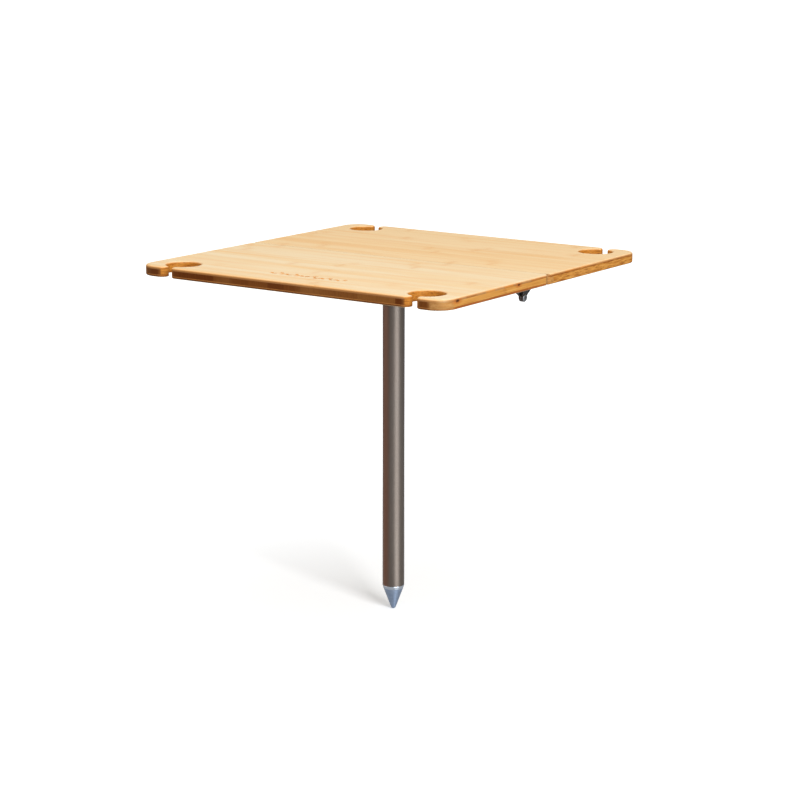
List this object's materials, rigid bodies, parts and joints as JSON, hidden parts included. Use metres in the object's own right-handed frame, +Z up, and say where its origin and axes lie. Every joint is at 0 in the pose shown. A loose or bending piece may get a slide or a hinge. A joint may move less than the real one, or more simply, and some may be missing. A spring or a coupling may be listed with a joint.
{
  "type": "folding picnic table",
  "caption": "Square bamboo picnic table whose leaves fold down beside a pointed ground stake, with notches in its edges for stemmed glasses.",
  "frame": {"origin": "tip of the point, on the pole's axis", "axes": "+Z up along the pole, +X along the joint line of the leaves, -Y towards the front leaf"},
  "size_m": [0.4, 0.4, 0.408],
  "materials": {
    "bamboo": "clear satin lacquer over laminated bamboo, pale faces, darker end grain",
    "anodised_tube": "bronze satin anodised",
    "tip_steel": "turned, zinc plated, blue-grey",
    "stud_steel": "zinc plated",
    "insert_brass": "machined",
    "nylon": "natural nylon",
    "bracket_steel": "stamped, dark zinc plated",
    "pin_steel": "bright zinc plated",
    "screw_steel": "zinc plated",
    "lock_steel": "stamped, dark zinc plated"
  },
  "bodies": {
    "pole": {"pole_tube": "anodised_tube", "spike_tip": "tip_steel", "top_plug": "anodised_tube", "pole_stud": "stud_steel"},
    "washer": {"thrust_washer": "nylon"},
    "head": {"pole_head": "anodised_tube", "threaded_insert": "insert_brass", "center_pin": "pin_steel", "pin_clip": "pin_steel", "center_washers": "nylon"},
    "front_leaf": {"front_leaf": "bamboo", "front_left_bracket": "bracket_steel", "front_right_bracket": "bracket_steel", "front_center_bracket": "bracket_steel", "left_hinge_rivet": "pin_steel", "right_hinge_rivet": "pin_steel", "hinge_washers": "nylon", "front_leaf_screws": "screw_steel"},
    "rear_leaf": {"rear_leaf": "bamboo", "rear_left_bracket": "bracket_steel", "rear_right_bracket": "bracket_steel", "rear_center_bracket": "bracket_steel", "rear_leaf_screws": "screw_steel", "lock_screws": "screw_steel", "lock_washers": "nylon"},
    "left_lock": {"left_lock_bar": "lock_steel"},
    "right_lock": {"right_lock_bar": "lock_steel"}
  },
  "joints": [
    {"name": "top_lift", "type": "slide", "parent": "pole", "child": "washer", "axis": [0, 0, 1], "range_m": [0, 0.015]},
    {"name": "top_turn", "type": "hinge", "parent": "washer", "child": "head", "pos_m": [0, 0, 0.358], "axis": [0, 0, 1], "range_deg": [0, 1800]},
    {"name": "front_leaf_fold", "type": "hinge", "parent": "head", "child": "front_leaf", "pos_m": [0, 0, 0.38], "axis": [1, 0, 0], "range_deg": [0, 90]},
    {"name": "rear_leaf_fold", "type": "hinge", "parent": "head", "child": "rear_leaf", "pos_m": [0, 0, 0.38], "axis": [-1, 0, 0], "range_deg": [0, 90]},
    {"name": "left_lock_turn", "type": "hinge", "parent": "rear_leaf", "child": "left_lock", "pos_m": [-0.08, 0.022, 0.3945], "axis": [0, 0, 1], "range_deg": [0, 90]},
    {"name": "right_lock_turn", "type": "hinge", "parent": "rear_leaf", "child": "right_lock", "pos_m": [0.08, 0.022, 0.3945], "axis": [0, 0, -1], "range_deg": [0, 90]}
  ],
  "couplings": [
    {"joint": "top_lift", "follows": "top_turn", "m_per_rad": 0.00047746}
  ]
}
